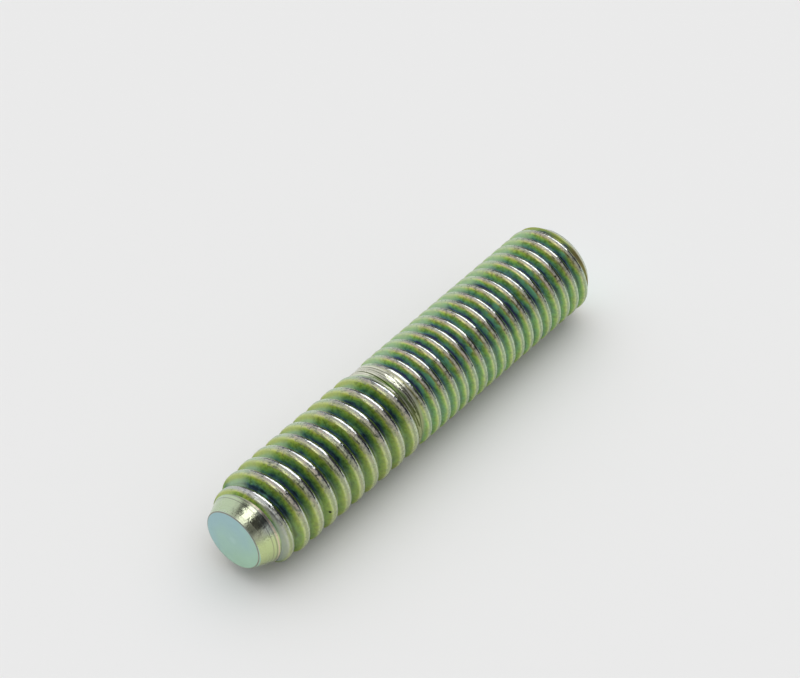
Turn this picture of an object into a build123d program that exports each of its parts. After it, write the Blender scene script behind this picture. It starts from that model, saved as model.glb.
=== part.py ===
from build123d import *
from build123d.topology import SkipClean
from math import radians, tan
import os

# Double-ended threaded stud, one rolled steel piece, in millimetres.
# The stud stands on its fine-thread end: +Z runs along its axis towards the pointed coarse-thread end,
# and the origin is the centre of the fine end face. Both threads are right-handed.
# The coarse thread is cut here. The fine end is turned to the major diameter of its thread, which is
# fine enough to be left to the finished look.

# ---- driving dimensions -------------------------------------------------------------------------
overall_length = 31.25

coarse_pitch = 25.4 / 20
coarse_major_diameter = 6.34
coarse_end_length = 13.88  # from the coarse end face to the land
coarse_first_crest = 0.32  # from the coarse end face down to the middle of a crest, on the +X side
crest_arcs = 10  # each turn of the crest is made of this many equal arcs
crest_arc_start = 22.0  # turn of the first arc from the +X side, in degrees

flank_angle = 30.0  # each flank, from the plane square to the axis
crest_share = 0.4  # width of the crest flat over the pitch
root_share = 1 / 12  # width of the root flat over the pitch

point_face_diameter = 4.22
point_length = 2.1  # the cone on the coarse end

fine_major_diameter = 6.23
chamfer_face_diameter = 5.0
chamfer_length = 0.6  # the chamfer on the fine end

land_step = 0.165  # how far the land lies below the lower of the two crests
land_width = 0.57
shoulder_angle = 30.0  # the cones beside the land, from the plane square to the axis

# ---- sizes that follow ----------------------------------------------------------------------------
coarse_radius = coarse_major_diameter / 2
fine_radius = fine_major_diameter / 2
land_radius = min(coarse_radius, fine_radius) - land_step
land_top = overall_length - coarse_end_length
land_bottom = land_top - land_width
point_radius = point_face_diameter / 2
point_slope = point_length / (coarse_radius - point_radius)
spare = coarse_pitch + coarse_radius - point_radius  # how far the turning cuts run outside the rod
flank_slope = tan(radians(flank_angle))
shoulder_slope = tan(radians(shoulder_angle))


def turn_profile(*corners, arcs=1, start=0, mode=Mode.ADD):
    """Revolve the closed outline through these (radius, z) corners about the axis, in equal arcs."""
    with BuildSketch(Plane.XZ) as outline:
        with BuildLine():
            Polyline(*corners, close=True)
        make_face()
    arc_angle = 360 / arcs
    for arc in range(arcs):
        side = outline.sketch.rotate(Axis.Z, start + arc * arc_angle)
        revolve(side, axis=Axis.Z, revolution_arc=arc_angle, mode=mode)


def cut_thread(pitch, radius, bottom, top, a_crest):
    """Cut a right-handed thread groove over the whole height of the part being built.

    The groove's section is a trapezoid: the root flat, and two flanks that run on a little outside the
    crest. It climbs a helix half a pitch above the crest that stands at z = a_crest on the +X side.
    The helix is one edge for each turn, which keeps each cut face short.
    """
    start = a_crest + pitch / 2 - pitch * (int((a_crest - bottom) / pitch) + 2)
    turns = int((top - start) / pitch) + 2
    half_root = pitch * root_share / 2
    root = radius - pitch * (1 - crest_share - root_share) / 2 / flank_slope
    outside = radius + pitch * crest_share / 4 / flank_slope
    half_mouth = half_root + (outside - root) * flank_slope
    with BuildSketch(Plane.XZ) as groove:
        with BuildLine():
            Polyline(
                (root, start - half_root),
                (outside, start - half_mouth),
                (outside, start + half_mouth),
                (root, start + half_root),
                close=True,
            )
        make_face()
    helix = [
        Helix(pitch, pitch, radius, center=(0, 0, start + turn * pitch), mode=Mode.PRIVATE)
        for turn in range(turns)
    ]
    sweep(groove.sketch, path=Wire(helix), is_frenet=True, mode=Mode.SUBTRACT)


# ---- the stud -------------------------------------------------------------------------------------
# Cleaning is off, so that the crest keeps its arcs.
with SkipClean():
    # coarse end: a threaded rod, turned down to the point and to the shoulder and core of the run-out
    with BuildPart() as coarse_end:
        turn_profile(
            (0, land_bottom),
            (coarse_radius, land_bottom),
            (coarse_radius, overall_length + coarse_pitch),
            (0, overall_length + coarse_pitch),
            arcs=crest_arcs,
            start=crest_arc_start,
        )
        cut_thread(coarse_pitch, coarse_radius, land_bottom, overall_length, overall_length - coarse_first_crest)
        turn_profile(
            (0, land_bottom),
            (land_radius, land_bottom),
            (land_radius, land_top),
            (land_radius + spare, land_top + spare * shoulder_slope),
            (point_radius + spare, overall_length - spare * point_slope),
            (point_radius, overall_length),
            (0, overall_length),
            mode=Mode.INTERSECT,
        )
        turn_profile(
            (0, land_bottom),
            (land_radius, land_bottom),
            (land_radius, land_top),
            (0, land_top + land_radius * shoulder_slope),
        )

    # the fine end, a chamfered cylinder, joined to it below the land
    with BuildPart() as stud:
        turn_profile(
            (0, 0),
            (chamfer_face_diameter / 2, 0),
            (fine_radius, chamfer_length),
            (fine_radius, land_bottom - (fine_radius - land_radius) * shoulder_slope),
            (land_radius, land_bottom),
            (0, land_bottom),
        )
        add(coarse_end.part)
stud.part.label = "stud"

os.makedirs("parts", exist_ok=True)
export_step(stud.part, "parts/stud.step")
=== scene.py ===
"""Double-ended threaded stud in zinc-plated steel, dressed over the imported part.

The stud stands on its fine-thread end, with +Z along its axis. The table that it lies against in the
main view is a plane beside it, so the camera is rolled over.
"""

from math import cos, pi, radians, sin, tan
from types import SimpleNamespace

import bpy
import numpy as np
from mathutils import Matrix, Vector


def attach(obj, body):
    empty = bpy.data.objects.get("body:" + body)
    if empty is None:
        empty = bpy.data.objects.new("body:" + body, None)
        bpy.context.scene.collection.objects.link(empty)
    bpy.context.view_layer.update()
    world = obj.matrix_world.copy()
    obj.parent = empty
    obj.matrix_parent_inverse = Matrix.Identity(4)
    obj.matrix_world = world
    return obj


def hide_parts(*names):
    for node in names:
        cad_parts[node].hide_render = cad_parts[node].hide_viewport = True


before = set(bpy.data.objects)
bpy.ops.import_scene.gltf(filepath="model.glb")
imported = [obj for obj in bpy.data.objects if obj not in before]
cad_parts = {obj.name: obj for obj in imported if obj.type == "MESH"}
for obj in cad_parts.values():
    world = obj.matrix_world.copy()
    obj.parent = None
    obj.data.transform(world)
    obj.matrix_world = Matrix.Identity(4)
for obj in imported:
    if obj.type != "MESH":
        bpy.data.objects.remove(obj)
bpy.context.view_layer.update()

MM = 0.001

# ---- sizes of the stud, in millimetres ------------------------------------------------------------
overall_length = 31.25

coarse_pitch = 25.4 / 20
coarse_radius = 3.17
coarse_depth = 0.54
coarse_crest_height = overall_length - 0.27  # where the middle of a crest stands on the +X side
point_face_radius = 2.09
point_length = 2.25
point_floor_slope = 0.4  # rise of the plain part of the point
point_floor_end = 1.32  # how far from the face that part reaches
point_floor_plunge = 4  # how fast it falls away beyond
first_crest_drop = 0.4  # how much lower the crest is at first_crest_turn
first_crest_turn = 1.25  # turns from the face
first_crest_run = 0.5  # the turns in which that drop falls by a factor of e

fine_pitch = 25.4 / 28
fine_radius = 3.115
fine_depth = 0.4
fine_crest_height = 0.39
chamfer_face_radius = 2.45
chamfer_length = 0.75

flank_angle = 30  # of the flanks, and of the cones beside the land
half_crest = 0.25  # half width of the crest over the pitch
crest_ease = 0.08  # rounding of the crest's edges and of the root, over the pitch
root_ease = 0.12
crown = 1.27  # how fast the lower half of the crest falls away
lip_start = 0.1  # where the upper lip of the crest starts to fall away, over the pitch
lip_crown = 1.6  # how fast it does
seam_middle = 0.06  # the rolled seam along the crest: its place, width and depth over the pitch
seam_width = 0.055
seam_depth = 0.03

land_radius = 3.02
land_top = 17.37
land_bottom = 16.8
land_middle = (land_top + land_bottom) / 2
shoulder_slope = tan(radians(flank_angle))
coarse_crest_end = (16.85, 17.5)  # heights between which the last coarse crest rises from the land
coarse_groove_end = (16.8, 17.3)  # heights between which the last coarse groove deepens
fine_crest_end = (16.85, 16.3)
fine_groove_end = (17.1, 16.75)
land_ease = 0.02  # rounding where the thread meets the land, the point, the shoulders and the chamfer
point_ease = 0.03
shoulder_ease = 0.04
chamfer_ease = 0.05

columns = 120  # round the stud
coarse_rows = 28  # up one pitch of the coarse thread
fine_rows = 22
crowding = 0.6  # how much closer the rows stand on the crest than on average
rim_round = 0.07  # rounding of the rims of both end faces
rim_rows = 4
hair = 1e-6  # a row this near to an end circle counts as on it
face_rings = 6
cap_mark = 9  # third part of the thread's place on the end caps, far over any depth


# ---- shape of the threads -------------------------------------------------------------------------
def smooth_step(x):
    """0 below 0 and 1 above 1, with the cubic 3x^2 - 2x^3 between."""
    x = np.clip(x, 0, 1)
    return x * x * (3 - 2 * x)


def soft_min(a, b, width):
    """The smaller of a and b, eased over width: half of (a + b - sqrt((a - b)^2 + width^2))."""
    return (a + b - np.sqrt((a - b) ** 2 + width**2)) / 2


def soft_max(a, b, width):
    """The larger of a and b, eased over width."""
    return -soft_min(-a, -b, width)


def groove_fall(across, pitch, depth):
    """Depth below the crest's top at a distance across it, from -1/2 to 1/2 pitch.

    The flanks fall at flank_angle from the edges of the crest. A soft maximum eases the crest's edges
    and a soft minimum the root. The lower half of the crest and its upper lip fall away as squares, and
    the rolled seam is a bell-shaped dip on its upper half.
    """
    share = across / pitch
    flank = (np.abs(share) - half_crest) * pitch / tan(radians(flank_angle))
    groove = soft_min(soft_max(flank, 0, crest_ease * pitch), depth, root_ease * pitch)
    lower = crown * pitch * np.clip(-share, 0, half_crest) ** 2
    lip = lip_crown * pitch * (np.clip(share, lip_start, half_crest) - lip_start) ** 2
    seam = seam_depth * pitch * np.exp(-(((share - seam_middle) / seam_width) ** 2))
    return groove + lower + lip + seam


def run_out(z, across, pitch, crest_end, groove_end):
    """How far the crest stands up and the groove goes down near the land, each from 0 to 1.

    Each grows as a smooth step over its heights. The crest's height is that of its middle, and the
    groove's is half a pitch away, on the side where the point lies.
    """
    crest = z - across
    groove = crest + np.where(across > 0, pitch / 2, -pitch / 2)
    return tuple(
        smooth_step((height - none) / (full - none))
        for height, (none, full) in ((crest, crest_end), (groove, groove_end))
    )


def coarse_radius_at(z, across):
    """Radius of the coarse end: the threaded rod, or what the point, shoulder and land leave of it.

    The crest's drop dies out exponentially along its turns, and the plain part of the point fills the
    groove beside the face. Returns the radius, the rod's and the depth below the crest.
    """
    stand, deep = run_out(z, across, coarse_pitch, coarse_crest_end, coarse_groove_end)
    turn = (overall_length - z + across) / coarse_pitch
    top = coarse_radius - first_crest_drop * np.exp((first_crest_turn - turn) / first_crest_run)
    fall = groove_fall(across, coarse_pitch, coarse_depth) * deep
    rod = soft_min(top - fall, land_radius + (coarse_radius - land_radius) * stand, land_ease)
    down = overall_length - z
    plunge = point_floor_plunge * np.maximum(down - point_floor_end, 0) ** 2
    floor = point_face_radius + point_floor_slope * down - plunge
    cone = point_face_radius + down * (coarse_radius - point_face_radius) / point_length
    shoulder = land_radius + np.maximum(z - land_top, 0) / shoulder_slope
    radius = soft_min(soft_max(rod, floor, point_ease), cone, point_ease)
    return soft_min(radius, shoulder, shoulder_ease), rod, fall


def fine_radius_at(z, across):
    """Radius of the fine end: the threaded rod, or what the chamfer, shoulder and land leave of it.

    Returns the radius, the rod's and the depth below the crest.
    """
    stand, deep = run_out(z, across, fine_pitch, fine_crest_end, fine_groove_end)
    fall = groove_fall(across, fine_pitch, fine_depth) * deep
    rod = soft_min(fine_radius - fall, land_radius + (fine_radius - land_radius) * stand, land_ease)
    chamfer = chamfer_face_radius + z * (fine_radius - chamfer_face_radius) / chamfer_length
    shoulder = land_radius + np.maximum(land_bottom - z, 0) / shoulder_slope
    return soft_min(soft_min(rod, chamfer, chamfer_ease), shoulder, shoulder_ease), rod, fall


def row_share(row, rows):
    """How far up its pitch a row stands: evenly, less a sine that crowds the rows onto the crest."""
    even = row / rows
    return even - crowding * np.sin(2 * pi * even) / (2 * pi)


def thread_band(pitch, rows, crest_height, low, high, radius_at):
    """A band of thread between the circles at heights low and high.

    The grid climbs a helix: the height of a point is pitch * (share + turn), where the share grows with
    the row, turn goes from 0 to 1 round the columns, and after one turn a row runs on as the row a
    pitch above. The rows next to each circle are brought to it, and where a column ends one row before
    its neighbour a triangle closes the step. Returns the points, the place of each on the thread, the
    quads, the triangles, and the points on the two circles.
    """
    base = crest_height - pitch * (np.ceil((crest_height - low) / pitch) + 2)
    count = (int(np.ceil((high - base) / pitch)) + 2) * rows
    column = np.arange(columns + 1)
    climb = base + pitch * row_share(np.arange(count), rows)
    first = np.searchsorted(climb, low + hair - pitch * column / columns, side="right") - 1
    last = np.searchsorted(climb, high - hair - pitch * column / columns)

    row, col = np.meshgrid(np.arange(count), np.arange(columns), indexing="ij")
    height = climb[row] + pitch * col / columns
    z = np.clip(height, low, high)
    across = (row_share(row, rows) + 0.5) % 1 * pitch - pitch / 2 + z - height
    across = (across / pitch + 0.5) % 1 * pitch - pitch / 2
    radius, rod, fall = radius_at(z, across)
    angle = 2 * pi * col / columns
    points = np.stack((radius * np.cos(angle), radius * np.sin(angle), z), axis=-1)
    place = np.stack((across / pitch, fall / pitch, np.abs(rod - radius)), axis=-1)

    def point(c, r):
        """Number of the point in column c and row r, where the column past the last is the first again."""
        return (r + rows * (c // columns)) * columns + c % columns

    r, c = np.meshgrid(np.arange(count - rows - 1), column[:-1], indexing="ij")
    whole = (r >= first[c]) & (r < last[c + 1])
    r, c = r[whole], c[whole]
    quads = np.stack((point(c, r), point(c + 1, r), point(c + 1, r + 1), point(c, r + 1)), axis=-1)
    c = column[:-1][first[1:] < first[:-1]]
    below = np.stack((point(c, first[c]), point(c + 1, first[c] - 1), point(c + 1, first[c])), axis=-1)
    c = column[:-1][last[1:] < last[:-1]]
    above = np.stack((point(c, last[c] - 1), point(c + 1, last[c] - 1), point(c, last[c])), axis=-1)
    circles = point(column[:-1], first[:-1]), point(column[:-1], last[:-1])
    return points.reshape(-1, 3), place.reshape(-1, 3), quads, np.vstack((below, above)), circles


def end_cap(radius, height, direction):
    """The rounded rim and the flat face that close an end, from its last circle to the middle.

    The rim is a quarter circle from (radius, height) to the face, and the face is rings that shrink to
    its middle. Direction is +1 for a face that looks up and -1 for one that looks down.
    """
    quarter = np.linspace(0, pi / 2, rim_rows + 1)[1:]
    rim_radius = radius - rim_round * (1 - np.cos(quarter))
    rim_height = height + direction * rim_round * np.sin(quarter)
    face_radius = (radius - rim_round) * np.linspace(1, 0, face_rings + 1)[1:-1]
    ring_radius = np.concatenate((rim_radius, face_radius))[:, None]
    ring_height = np.concatenate((rim_height, np.full(face_rings - 1, rim_height[-1])))[:, None]
    angle = 2 * pi * np.arange(columns)[None, :] / columns
    ring = (ring_radius * np.cos(angle), ring_radius * np.sin(angle), ring_height + 0 * angle)
    points = np.stack(ring, axis=-1).reshape(-1, 3)
    points = np.vstack((points, (0, 0, rim_height[-1])))
    return points, len(ring_radius)


def stud_surface():
    """Points, places and faces of the whole stud, closed: two thread bands and two end caps.

    The bands share the circle in the middle of the land, and each cap grows from its band's end circle.
    """
    bands = (
        thread_band(fine_pitch, fine_rows, fine_crest_height, rim_round, land_middle, fine_radius_at),
        thread_band(
            coarse_pitch, coarse_rows, coarse_crest_height,
            land_middle, overall_length - rim_round, coarse_radius_at,
        ),
    )
    points = np.vstack([band[0] for band in bands])
    places = np.vstack([band[1] for band in bands])
    shift = len(bands[0][0])
    number = np.arange(len(points))
    number[bands[1][4][0] + shift] = bands[0][4][1]
    quads = [bands[0][2], number[bands[1][2] + shift]]
    triangles = [bands[0][3], number[bands[1][3] + shift]]
    ends = ((bands[0][4][0], -1), (bands[1][4][1] + shift, 1))
    for circle, direction in ends:
        radius = np.hypot(points[circle, 0], points[circle, 1]).mean()
        cap, rings = end_cap(radius, points[circle[0], 2], direction)
        start = len(points)
        points = np.vstack((points, cap))
        cap_radius = np.hypot(cap[:, 0], cap[:, 1])
        cap_place = np.stack((cap_radius / radius, 0 * cap_radius, 0 * cap_radius + cap_mark), axis=-1)
        places = np.vstack((places, cap_place))
        ring = np.vstack((circle, start + np.arange(rings * columns).reshape(rings, columns)))
        beside = np.roll(ring, -1, axis=1)
        around = (ring[:-1], beside[:-1], beside[1:], ring[1:])[::direction]
        quads.append(np.stack(around, axis=-1).reshape(-1, 4))
        middle = np.full(columns, start + rings * columns)
        triangles.append(np.stack((ring[-1], beside[-1], middle)[::direction], axis=-1))
    return points, places, np.vstack(quads), np.vstack(triangles)


def stud_mesh():
    """The stud as a mesh, with only the points that its faces use.

    Its attribute thread_place holds the place across the crest and the depth below it, both over the
    pitch, and how far the turned parts lie from the threaded rod. On the end caps it holds the share of
    the radius, 0 and cap_mark.
    """
    points, places, quads, triangles = stud_surface()
    used = np.unique(np.concatenate((quads.ravel(), triangles.ravel())))
    number = np.zeros(len(points), int)
    number[used] = np.arange(len(used))
    mesh = bpy.data.meshes.new("stud_surface")
    faces = number[quads].tolist() + number[triangles].tolist()
    mesh.from_pydata((points[used] * MM).tolist(), [], faces)
    place = mesh.attributes.new("thread_place", "FLOAT_VECTOR", "POINT")
    place.data.foreach_set("vector", places[used].astype(np.float32).ravel())
    mesh.polygons.foreach_set("use_smooth", np.ones(len(faces), bool))
    mesh.update()
    return mesh


# ---- shader building ------------------------------------------------------------------------------
def new_material(name):
    """An empty node material and its tree."""
    material = bpy.data.materials.new(name)
    material.use_nodes = True
    material.node_tree.nodes.clear()
    return material, material.node_tree


def add_node(tree, kind, settings=(), **inputs):
    """A node with its settings and inputs given by name. A socket is linked and a value is set."""
    node = tree.nodes.new(kind)
    for name, value in dict(settings).items():
        setattr(node, name, value)
    for name, value in inputs.items():
        key = int(name[2:]) if name.startswith("in") else name
        if isinstance(value, bpy.types.NodeSocket):
            tree.links.new(value, node.inputs[key])
        else:
            node.inputs[key].default_value = value
    return node


def maths(tree, operation, a, b=0.0, c=0.0):
    """One arithmetic step on values."""
    return add_node(tree, "ShaderNodeMath", {"operation": operation}, in0=a, in1=b, in2=c).outputs[0]


def times(tree, a, b):
    """The product of two values."""
    return maths(tree, "MULTIPLY", a, b)


def plus(tree, base, amount, value):
    """The base, and an amount of a value on top."""
    return maths(tree, "MULTIPLY_ADD", value, amount, base)


def shifted(tree, base, amount, value):
    """The base, shifted up and down by an amount of a noise about its middle."""
    return plus(tree, base, amount, maths(tree, "SUBTRACT", value, 0.5))


def ramp(tree, value, low, high):
    """0 where value is under low and 1 where it is over high, eased between."""
    settings = {"interpolation_type": "SMOOTHSTEP"}
    node = add_node(tree, "ShaderNodeMapRange", settings, in0=value, in1=low, in2=high)
    return node.outputs[0]


def ramp_mm(tree, distance, low, high):
    """A ramp between two distances in millimetres."""
    return ramp(tree, distance, low * MM, high * MM)


def bell(tree, value, middle, width):
    """1 where a value is near the middle, falling to 0 a width to either side."""
    away = maths(tree, "ABSOLUTE", maths(tree, "SUBTRACT", value, middle))
    return ramp(tree, away, width, width / 3)


def vector_maths(tree, operation, a, b=(0, 0, 0)):
    """One step on vectors, as its node."""
    return add_node(tree, "ShaderNodeVectorMath", {"operation": operation}, in0=a, in1=b)


def scaled(tree, place, scale):
    """A place stretched along each axis."""
    return vector_maths(tree, "MULTIPLY", place, scale).outputs[0]


def towards(tree, place, direction):
    """How far a place lies along a direction."""
    return vector_maths(tree, "DOT_PRODUCT", place, direction).outputs["Value"]


def blend(tree, share, a, b):
    """Value a, turning to value b as share goes from 0 to 1."""
    return add_node(tree, "ShaderNodeMix", {"data_type": "FLOAT"}, in0=share, in2=a, in3=b).outputs[0]


def blend_colour(tree, share, a, b):
    """Colour a, turning to colour b as share goes from 0 to 1."""
    return add_node(tree, "ShaderNodeMix", {"data_type": "RGBA"}, in0=share, in6=a, in7=b).outputs[2]


def tinted(tree, colour, tint, mask, strength):
    """A colour blended with a tint by as much as strength where the mask is 1."""
    return blend_colour(tree, times(tree, mask, strength), colour, tint)


def noise(tree, place, scale, detail, roughness):
    """Fractal noise at a place, from 0 to 1."""
    node = add_node(
        tree, "ShaderNodeTexNoise", (), Vector=place, Scale=scale, Detail=detail, Roughness=roughness
    )
    return node.outputs["Factor"] if "Factor" in node.outputs else node.outputs["Fac"]


def colour_ramp(tree, value, *stops):
    """A colour that runs through these (position, colour) stops as a value goes from 0 to 1.

    The colours are set after all the positions, because a stop that moves past another changes places.
    """
    node = add_node(tree, "ShaderNodeValToRGB", (), in0=value)
    ramp_stops = node.color_ramp.elements
    while len(ramp_stops) < len(stops):
        ramp_stops.new(0.5)
    for stop, (position, colour) in zip(ramp_stops, stops):
        stop.position = position
    for stop, (position, colour) in zip(ramp_stops, stops):
        stop.color = colour
    return node.outputs[0]


def side(azimuth):
    """The direction out of the stud's axis at an azimuth in degrees."""
    return (cos(radians(azimuth)), sin(radians(azimuth)), 0)


# ---- zinc plate with its passivation --------------------------------------------------------------
# The film's colour over the depth below the crest's top, from the crest's edge (0) to the root (1). Its last
# stops darken it to near black, which is painted shade in the root.
coarse_film_and_root_shade = (
    (0.0, (0.49, 0.51, 0.14, 1)),
    (0.15, (0.41, 0.49, 0.09, 1)),
    (0.35, (0.31, 0.46, 0.08, 1)),
    (0.58, (0.22, 0.40, 0.12, 1)),
    (0.78, (0.13, 0.29, 0.16, 1)),
    (0.9, (0.07, 0.15, 0.18, 1)),
    (1.0, (0.04, 0.07, 0.11, 1)),
)
fine_film_and_root_shade = (
    (0.0, (0.60, 0.60, 0.18, 1)),
    (0.15, (0.48, 0.60, 0.11, 1)),
    (0.35, (0.33, 0.56, 0.13, 1)),
    (0.58, (0.23, 0.48, 0.24, 1)),
    (0.76, (0.18, 0.37, 0.31, 1)),
    (0.9, (0.10, 0.16, 0.28, 1)),
    (1.0, (0.07, 0.07, 0.18, 1)),
)
full_depth = 0.42  # depth of the root over the pitch
film_streaks = 1.3  # how far the streaks and the mottle shift the film's colour
film_mottle = 0.3
film_edge = (0.03, 0.07)  # depths over the pitch between which bare zinc gives way to the film
film_edge_ragged = 0.15  # how far that edge wanders

crest_turn = (-0.06, 0.12)  # places over the pitch between which the far lip gives way to the near one
worn_band = (0.06, 0.12)  # the worn seam's middle and half width over the pitch
worn_strands = (0.75, 1.05)  # sums of its noises between which it is bare and worn
near_lip = (0.62, 0.64, 0.34, 1)  # the crest's edge on the side where the point lies
fine_near_lip = (0.66, 0.62, 0.28, 1)
far_lip = (0.62, 0.63, 0.61, 1)
seam_grey = (0.38, 0.38, 0.29, 1)
seam_rose = (0.44, 0.37, 0.33, 1)
dark_mottle = (0.35, 0.6)  # range of the mottle from the darkest place to a clear one
mottle_shade = (0.5, 0.54, 0.6)  # what the darkest mottle leaves of each colour

# Tints round the stud. The left and right tints are painted reflection over the film's colour: paler where
# the left side mirrors the bright room and the right side the pale table. A reach is a pair of cosines of
# the angle from a side: where the tint starts, and where it is full.
left_mint_film_and_reflection = (0.50, 0.66, 0.44, 1)
left_lime_film_and_reflection = (0.55, 0.63, 0.26, 1)
right_lime_film_and_reflection = (0.54, 0.66, 0.26, 1)
right_green_film_and_reflection = (0.47, 0.70, 0.32, 1)
middle_teal = (0.24, 0.56, 0.40, 1)
left_reach = (0.88, 1.0)
right_reach = (0.7, 1.0)
middle_reach = (0.945, 0.985)
left_strength = 0.7
right_strength = 0.45
middle_strength = 0.8
teal_upper = (0.04, 0.1)  # depths over the pitch between which the teal sets in, and then ends
teal_lower = (0.38, 0.28)
teal_patches = (0.4, 0.65)  # range of the waves from no teal to full teal
lime_share = (0.05, 0.25)  # where the lime takes the mint's place on the near flank
lime_depth = (0.3, 0.14)
groove_violet = (0.50, 0.51, 0.55, 1)
groove_strength = 0.6
first_groove = (1.66, 0.26)  # the groove by the point: its place from the face, and half width

turned_grey = (0.56, 0.62, 0.55, 1)
turned_yellow = (0.60, 0.64, 0.46, 1)
turned_lines = (0.42, 0.32)  # range of the rings' noise from bare metal to a dark turned line
point_left_reach = (0.5, 0.95)
point_right_reach = (0.75, 0.95)
point_left_strength = 0.6
point_right_strength = 0.7
ring_purple = (0.14, 0.11, 0.13, 1)
ring_strength = 0.45
scribed_rings = ((0.95, 0.04), (1.18, 0.06))  # rings turned into the point: from the face, and half width
lip_rose = (0.74, 0.58, 0.46, 1)
point_lip = (1.3, 0.07)  # the lip where the plain part of the point ends
point_lip_strength = 0.8
land_olive = (0.78, 0.78, 0.66, 1)
# the land's right side: the film's green with painted shade
land_green_film_and_shade = (0.36, 0.40, 0.21, 1)
land_dark = (0.09, 0.12, 0.04, 1)
land_lines = (0.38, 0.52)  # and on the land, from a dark line to bare metal
land_right_reach = (0.5, 0.9)
land_edge = (0.45, 0.3)  # distances from the land's middle between which the land's look sets in
chamfer_brown = (0.30, 0.26, 0.10, 1)
chamfer_olive = (0.40, 0.46, 0.12, 1)
stain_edge = (1.5, 1.1)  # heights between which the chamfer's stain sets in
stain_ragged = 1.2  # how far the stain's edge wanders
chamfer_rim_highlight = (0.3, 0.15)  # heights between which the chamfer turns bright again, a painted highlight along its rim
face_teal = (0.50, 0.71, 0.56, 1)
face_lilac = (0.44, 0.63, 0.66, 1)
face_turn = (-2, 2)  # distances to the left side between which the face turns from teal to lilac
face_ragged = 3  # how far that turn wanders
rim_dark = (0.34, 0.32, 0.26, 1)
rim_edge = (0.955, 0.985)  # shares of the face's radius between which the dark rim sets in
pit_black = (0.02, 0.02, 0.015, 1)
pit_size = (0.13, 0.06)  # distances from its middle between which it darkens
pit_out = 3.0
pit_height = 25.75

left_side = side(-15)
middle_side = side(-92)
right_side = side(-150)
pit_place = (Vector(side(-147)) * pit_out + Vector((0, 0, pit_height))) * MM

# Noises: scale in cycles a metre, detail and roughness.
cloud_noise = (500.0, 2.0, 0.5)
streak_noise = (900.0, 3.0, 0.6)
wave_noise = (1900.0, 2.0, 0.5)
mottle_noise = (4500.0, 3.0, 0.65)
ring_noise = (11000.0, 2.0, 0.7)
strand_noise = (1.0, 3.0, 0.7)
strands_a_pitch = 16.0
streak_squash = (1, 1, 2.5)
tint_clouds = (0.4, 0.6)  # range of the clouds between two colours of the same part
turned_edge = (0.03, 0.08)  # depths under the rod's own surface between which a place counts as turned
face_edge = (5.0, 6.0)  # and marks between which it counts as on an end face

least_rough = 0.07
mottle_rough = 0.14
worn_rough = 0.5
lip_rough = 0.15
rough_lip = (0.08, 0.16)  # places over the pitch between which the rough lip sets in
flank_rough = 0.27
rough_flank = (0.03, 0.1)  # depths over the pitch between which the rough flank sets in
face_rough = 0.3
worn_metal = 0.85  # how much of its metal look the worn seam loses
turned_grain = 0.55  # strengths of the turned lines, the waves and the strands in the uneven surface
land_grain = 0.15
wave_grain = 2.5
strand_grain = 0.3
uneven_strength = 0.45
uneven_depth = 0.03


def stud_marks(tree):
    """Where a point lies on the stud, what part it is on, and the noises there, as named sockets."""
    at = SimpleNamespace()
    place = add_node(tree, "ShaderNodeAttribute", {"attribute_name": "thread_place"})
    parts = add_node(tree, "ShaderNodeSeparateXYZ", (), in0=place.outputs["Vector"])
    at.share, at.fall, turned = parts.outputs[0], parts.outputs[1], parts.outputs[2]
    at.body = add_node(tree, "ShaderNodeTexCoord").outputs["Object"]
    at.height = add_node(tree, "ShaderNodeSeparateXYZ", (), in0=at.body).outputs[2]

    at.clouds = noise(tree, at.body, *cloud_noise)
    at.streaks = noise(tree, scaled(tree, at.body, streak_squash), *streak_noise)
    at.waves = noise(tree, at.body, *wave_noise)
    at.mottle = noise(tree, at.body, *mottle_noise)
    at.rings = noise(tree, scaled(tree, at.body, (0, 0, 1)), *ring_noise)
    along_crest = add_node(
        tree, "ShaderNodeCombineXYZ", (), X=times(tree, at.share, strands_a_pitch), Y=at.streaks
    ).outputs[0]
    at.strands = noise(tree, along_crest, *strand_noise)

    from_land = maths(tree, "ABSOLUTE", maths(tree, "SUBTRACT", at.height, land_middle * MM))
    at.is_land = ramp_mm(tree, from_land, *land_edge)
    at.is_face = ramp(tree, turned, *face_edge)
    at.is_turned = maths(tree, "MAXIMUM", ramp(tree, turned, *turned_edge), at.is_land)
    at.is_rod = maths(tree, "SUBTRACT", 1.0, at.is_turned)
    at.is_fine = ramp_mm(tree, at.height, land_top, land_bottom)
    at.is_coarse = maths(tree, "SUBTRACT", 1.0, at.is_fine)
    at.tint = ramp(tree, at.clouds, *tint_clouds)

    rough_seam = ramp(tree, maths(tree, "ADD", at.strands, at.mottle), *worn_strands)
    at.worn = times(tree, times(tree, bell(tree, at.share, *worn_band), at.is_rod), rough_seam)

    outward = vector_maths(tree, "NORMALIZE", scaled(tree, at.body, (1, 1, 0))).outputs[0]
    at.on_left = towards(tree, outward, left_side)
    at.on_middle = towards(tree, outward, middle_side)
    at.on_right = towards(tree, outward, right_side)
    return at


def point_ring(tree, at, ring):
    """1 on a ring about the point, given by its place from the face and its half width."""
    down, width = ring
    return bell(tree, at.height, (overall_length - down) * MM, width * MM)


def crest_colour(tree, at):
    """Nearly bare zinc on the crest, with its two lips and the worn seam."""
    near = blend_colour(tree, at.is_fine, near_lip, fine_near_lip)
    crest = blend_colour(tree, ramp(tree, at.share, *crest_turn), far_lip, near)
    seam = blend_colour(tree, at.tint, seam_grey, seam_rose)
    return blend_colour(tree, at.worn, crest, seam)


def flank_colour(tree, at):
    """The film in the groove, by its depth, with streaks and mottle, darkening to near black in the root as
    painted shade.
    """
    film = maths(tree, "DIVIDE", at.fall, full_depth)
    film = shifted(tree, film, film_streaks, at.streaks)
    film = shifted(tree, film, film_mottle, at.mottle)
    coarse = colour_ramp(tree, film, *coarse_film_and_root_shade)
    fine = colour_ramp(tree, film, *fine_film_and_root_shade)
    return blend_colour(tree, at.is_fine, coarse, fine)


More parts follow.
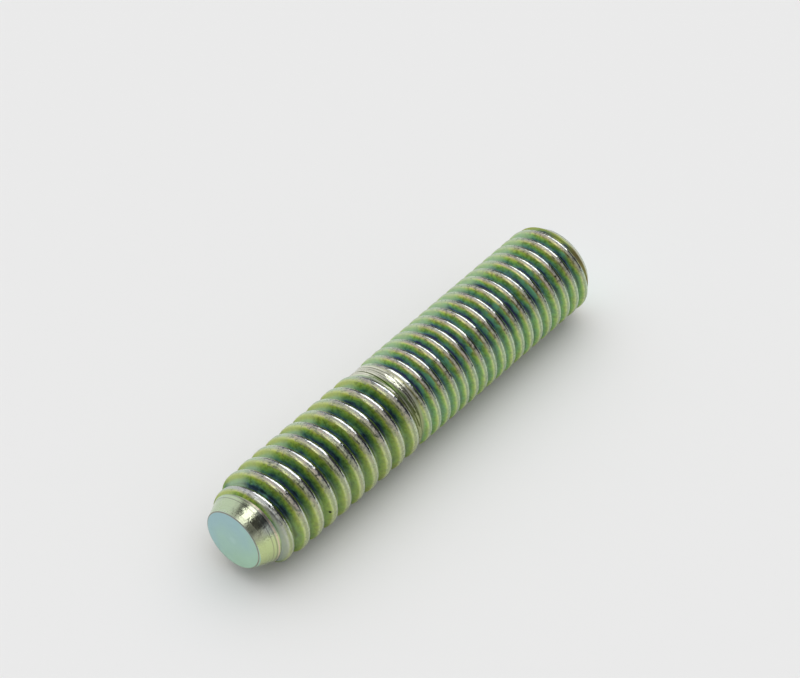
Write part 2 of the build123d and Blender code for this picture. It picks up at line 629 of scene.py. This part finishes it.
def thread_colour(tree, at):
    """The thread's colour: crest and film, the film's shifts round the stud, and painted reflection in pale
    tints on its left and right sides.
    """
    edge = shifted(tree, at.fall, film_edge_ragged, at.mottle)
    thread = blend_colour(tree, ramp(tree, edge, *film_edge), crest_colour(tree, at), flank_colour(tree, at))
    dark = scaled(tree, thread, mottle_shade)
    thread = blend_colour(tree, ramp(tree, at.mottle, *dark_mottle), dark, thread)

    upper_groove = times(tree, ramp(tree, at.fall, *teal_upper), ramp(tree, at.fall, *teal_lower))
    patches = times(tree, ramp(tree, at.waves, *teal_patches), times(tree, upper_groove, at.is_fine))
    teal = times(tree, ramp(tree, at.on_middle, *middle_reach), patches)
    thread = tinted(tree, thread, middle_teal, teal, middle_strength)

    # painted reflection: pale mint and lime on the left side, over the film's colour
    near_flank = times(tree, ramp(tree, at.share, *lime_share), ramp(tree, at.fall, *lime_depth))
    left = blend_colour(tree, times(tree, near_flank, at.is_coarse), left_mint_film_and_reflection, left_lime_film_and_reflection)
    thread = tinted(tree, thread, left, ramp(tree, at.on_left, *left_reach), left_strength)
    # painted reflection of the pale table: lime and green on the right side, over the film's colour
    right = blend_colour(tree, at.is_fine, right_lime_film_and_reflection, right_green_film_and_reflection)
    thread = tinted(tree, thread, right, ramp(tree, at.on_right, *right_reach), right_strength)
    return tinted(tree, thread, groove_violet, point_ring(tree, at, first_groove), groove_strength)


def point_colour(tree, at):
    """The turned point: bright metal with purple rings, a rosy lip, and painted reflection in green tints at
    its sides.
    """
    bare = blend_colour(tree, at.tint, turned_grey, turned_yellow)
    bare = blend_colour(tree, ramp(tree, at.rings, *turned_lines), bare, seam_rose)
    # painted reflection: pale tints on the point's left and right sides, over its bare metal
    bare = tinted(tree, bare, left_mint_film_and_reflection, ramp(tree, at.on_left, *point_left_reach), point_left_strength)
    bare = tinted(tree, bare, right_lime_film_and_reflection, ramp(tree, at.on_right, *point_right_reach), point_right_strength)
    for ring in scribed_rings:
        bare = tinted(tree, bare, ring_purple, point_ring(tree, at, ring), ring_strength)
    return tinted(tree, bare, lip_rose, point_ring(tree, at, point_lip), point_lip_strength)


def land_colour(tree, at):
    """The land: bright between fine dark turned lines, and greener and darker on the right side, which is
    the film's green with painted shade.
    """
    land = blend_colour(tree, ramp(tree, at.on_right, *land_right_reach), land_olive, land_green_film_and_shade)
    return blend_colour(tree, ramp(tree, at.rings, *land_lines), land_dark, land)


def face_colour(tree, at):
    """The end faces: teal that turns lilac towards the left side, and a thin dark rim."""
    to_left = shifted(tree, towards(tree, at.body, left_side), face_ragged * MM, at.clouds)
    face = blend_colour(tree, ramp_mm(tree, to_left, *face_turn), face_teal, face_lilac)
    return blend_colour(tree, ramp(tree, at.share, *rim_edge), face, rim_dark)


def plate_colour(tree, at):
    """The colour of the whole stud, part by part, with the chamfer's stain, a painted highlight along the
    chamfer's rim, and one pit.
    """
    bare = blend_colour(tree, at.is_land, point_colour(tree, at), land_colour(tree, at))
    colour = blend_colour(tree, at.is_turned, thread_colour(tree, at), bare)
    stain = blend_colour(tree, at.tint, chamfer_brown, chamfer_olive)
    stain_height = plus(tree, at.height, stain_ragged * MM, at.streaks)
    colour = blend_colour(tree, ramp_mm(tree, stain_height, *stain_edge), colour, stain)
    # painted highlight: the chamfer turns pale yellow along its rim
    colour = blend_colour(tree, ramp_mm(tree, at.height, *chamfer_rim_highlight), colour, turned_yellow)
    colour = blend_colour(tree, at.is_face, colour, face_colour(tree, at))
    from_pit = vector_maths(tree, "DISTANCE", at.body, pit_place).outputs["Value"]
    return blend_colour(tree, ramp_mm(tree, from_pit, *pit_size), colour, pit_black)


def plate_roughness(tree, at):
    """Smooth crests and turned parts, and a rougher seam, near lip, flanks and faces."""
    rough = plus(tree, least_rough, mottle_rough, at.mottle)
    rough = plus(tree, rough, worn_rough, at.worn)
    rough = plus(tree, rough, lip_rough, ramp(tree, at.share, *rough_lip))
    on_flank = times(tree, ramp(tree, at.fall, *rough_flank), at.is_rod)
    rough = plus(tree, rough, flank_rough, on_flank)
    return plus(tree, rough, face_rough, at.is_face)


def plate_grain(tree, at):
    """The height of the fine unevenness: mottle, waves, turned lines and the seam's strands."""
    ringed = plus(tree, times(tree, at.is_turned, turned_grain), land_grain - turned_grain, at.is_land)
    grain = plus(tree, at.mottle, ringed, at.rings)
    grain = plus(tree, grain, wave_grain, at.waves)
    return plus(tree, grain, strand_grain, times(tree, at.strands, at.worn))


def zinc_plate():
    """Bright zinc over steel under a thin film.

    The crest is nearly bare and its rolled seam is rough. The film goes from yellow at the crest's edge
    through green to blue in the root, in patches drawn out round the stud, and darkens in the root with
    painted shade. Pale tints on the left and right sides are painted reflection over the film's colour.
    """
    material, tree = new_material("zinc_plate")
    at = stud_marks(tree)
    uneven = add_node(
        tree, "ShaderNodeBump", (),
        Strength=uneven_strength, Distance=uneven_depth * MM, Height=plate_grain(tree, at),
    )
    inputs = {
        "Base Color": plate_colour(tree, at),
        "Metallic": plus(tree, 1.0, -worn_metal, at.worn),
        "Roughness": plate_roughness(tree, at),
        "Normal": uneven.outputs[0],
    }
    plate = add_node(tree, "ShaderNodeBsdfPrincipled", (), **inputs)
    add_node(tree, "ShaderNodeOutputMaterial", (), Surface=plate.outputs[0])
    return material


# ---- the stud -------------------------------------------------------------------------------------
stud = bpy.data.objects.new("threaded_stud", stud_mesh())
bpy.context.scene.collection.objects.link(stud)
stud.data.materials.append(zinc_plate())
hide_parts("stud")
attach(stud, "root")


# ---- camera ---------------------------------------------------------------------------------------
camera_target = Vector((2.737, 0.038, 12.861)) * MM
camera_distance = 280.8 * MM
camera_elevation = radians(32.25)
camera_roll = radians(-130.3)
camera_lens = 202.3
camera_sensor = 36
camera_near = 0.01
camera_far = 20


def rolled_axes(elevation, roll):
    """Right, up and backward of a camera that looks along +Y, tips down and rolls about its view."""
    backward = Vector((0, -cos(elevation), sin(elevation)))
    level_up = Vector((0, sin(elevation), cos(elevation)))
    level_right = Vector((1, 0, 0))
    right = cos(roll) * level_right + sin(roll) * level_up
    up = cos(roll) * level_up - sin(roll) * level_right
    return right, up, backward


def main_camera():
    """The camera of the main view, with the table's up direction towards the top of the view."""
    data = bpy.data.cameras.new("camera")
    data.lens = camera_lens
    data.sensor_width = camera_sensor
    data.clip_start = camera_near
    data.clip_end = camera_far
    right, up, backward = rolled_axes(camera_elevation, camera_roll)
    camera = bpy.data.objects.new("camera", data)
    turn = Matrix((right, up, backward)).transposed().to_4x4()
    camera.matrix_world = Matrix.Translation(camera_target + backward * camera_distance) @ turn
    bpy.context.scene.collection.objects.link(camera)
    bpy.context.scene.camera = camera


main_camera()

# ---- table, light and surroundings ----------------------------------------------------------------
table_azimuth = radians(-57.8)  # which way the table faces, about the stud's axis
table_up = Vector((cos(table_azimuth), sin(table_azimuth), 0))
table_along = Vector((0, 0, 1))
table_aside = table_up.cross(table_along)
table_half_size = 0.1
table_grey = (0.82, 0.82, 0.82, 1)

light_distance = 0.6
seen_level = 0.82  # brightness of the room as the camera sees it
dim_level = 0.04  # and in the gloss of the plate, where nothing bright is mirrored
left_level = 0.8
front_level = 0.25
below_level = 0.55
right_level = 0.5
soft_level = 0.48  # and as it lights what is not glossy, with its overhead part
overhead_level = 1.15
overhead_way = (-0.18, 0.96, -0.2)  # its middle: parts aside, up from the table and along the stud

# where the gloss finds the room bright, as ranges of the part of a direction along each way
bright_left = (0.2, 0.8)
bright_ahead = (-0.85, -0.35)
bright_front = (0.3, 0.6)
bright_below = (0.05, 0.5)
bright_right = (0.78, 0.95)
bright_overhead = (0.45, 0.98)  # and the soft light of the room along overhead_way


def from_table(aside, up, along):
    """A direction given by its parts beside the stud, up from the table and along the stud."""
    return (table_aside * aside + table_up * up + table_along * along).normalized()


def table_plane():
    """The pale table: one large face that touches the side of the stud, and is clear from behind."""
    foot = -table_up * coarse_radius * MM
    corners = [
        tuple(foot + (table_aside * aside + table_along * along) * table_half_size)
        for aside, along in ((-1, -1), (-1, 1), (1, 1), (1, -1))
    ]
    mesh = bpy.data.meshes.new("table")
    mesh.from_pydata(corners, [], [(0, 1, 2, 3)])
    if mesh.polygons[0].normal.dot(table_up) < 0:
        mesh.flip_normals()
    table = bpy.data.objects.new("table", mesh)
    bpy.context.scene.collection.objects.link(table)
    material, tree = new_material("pale_table")
    shade = add_node(tree, "ShaderNodeBsdfDiffuse", (), Color=table_grey)
    clear = add_node(tree, "ShaderNodeBsdfTransparent")
    behind = add_node(tree, "ShaderNodeNewGeometry").outputs["Backfacing"]
    both = add_node(tree, "ShaderNodeMixShader", (), in0=behind, in1=shade.outputs[0], in2=clear.outputs[0])
    add_node(tree, "ShaderNodeOutputMaterial", (), Surface=both.outputs[0])
    table.data.materials.append(material)


def soft_light(name, direction, width, height, slant, power):
    """A soft rectangular light that faces the stud's middle, level but for its slant in degrees.

    It shows in the plate's gloss alone, and the room lights all the rest.
    """
    data = bpy.data.lights.new(name, "AREA")
    data.shape = "RECTANGLE"
    data.size = width
    data.size_y = height
    data.energy = power
    light = bpy.data.objects.new(name, data)
    level = table_up.cross(direction).normalized()
    broad = cos(radians(slant)) * level + sin(radians(slant)) * direction.cross(level)
    rise = direction.cross(broad)
    middle = Vector((0, 0, overall_length / 2 * MM))
    turn = Matrix((broad, rise, direction)).transposed().to_4x4()
    light.matrix_world = Matrix.Translation(middle + direction * light_distance) @ turn
    light.visible_diffuse = False
    bpy.context.scene.collection.objects.link(light)


def mirrored_room(tree, look):
    """The room in the plate's gloss: dim, but bright to the left, to the front, below and far right."""
    left = towards(tree, look, -table_aside)
    front = towards(tree, look, table_along)
    below = towards(tree, look, -table_up)
    right = times(tree, left, -1.0)
    on_left = times(tree, ramp(tree, left, *bright_left), ramp(tree, front, *bright_ahead))
    level = plus(tree, dim_level, left_level, on_left)
    level = plus(tree, level, front_level, ramp(tree, front, *bright_front))
    level = plus(tree, level, below_level, ramp(tree, below, *bright_below))
    return plus(tree, level, right_level, ramp(tree, right, *bright_right))


def surroundings():
    """A pale room: even as it is seen, softly overhead as it lights the table, patchy in the gloss.

    Only the first mirror bounce meets the patchy room, so the table is lit evenly by way of the stud.
    """
    world = bpy.data.worlds.new("room")
    bpy.context.scene.world = world
    world.use_nodes = True
    tree = world.node_tree
    tree.nodes.clear()
    look = add_node(tree, "ShaderNodeTexCoord").outputs["Generated"]
    gloss = mirrored_room(tree, look)
    above = towards(tree, look, from_table(*overhead_way))
    soft = plus(tree, soft_level, overhead_level, ramp(tree, above, *bright_overhead))
    rays = add_node(tree, "ShaderNodeLightPath")
    by_table = maths(tree, "MINIMUM", rays.outputs["Diffuse Depth"], 1.0)
    mirrored = times(tree, rays.outputs["Is Glossy Ray"], maths(tree, "SUBTRACT", 1.0, by_table))
    level = blend(tree, rays.outputs["Is Camera Ray"], blend(tree, mirrored, soft, gloss), seen_level)
    glow = add_node(tree, "ShaderNodeBackground", (), Color=(1, 1, 1, 1), Strength=level)
    add_node(tree, "ShaderNodeOutputWorld", (), Surface=glow.outputs[0])


table_plane()
soft_light("far_light", from_table(-0.1, 0.72, -0.69), width=0.46, height=0.42, slant=25, power=1.7)
soft_light("near_light", from_table(0.04, 0.97, 0.18), width=0.27, height=0.36, slant=0, power=0.6)
surroundings()

bpy.context.scene.view_settings.view_transform = "Standard"
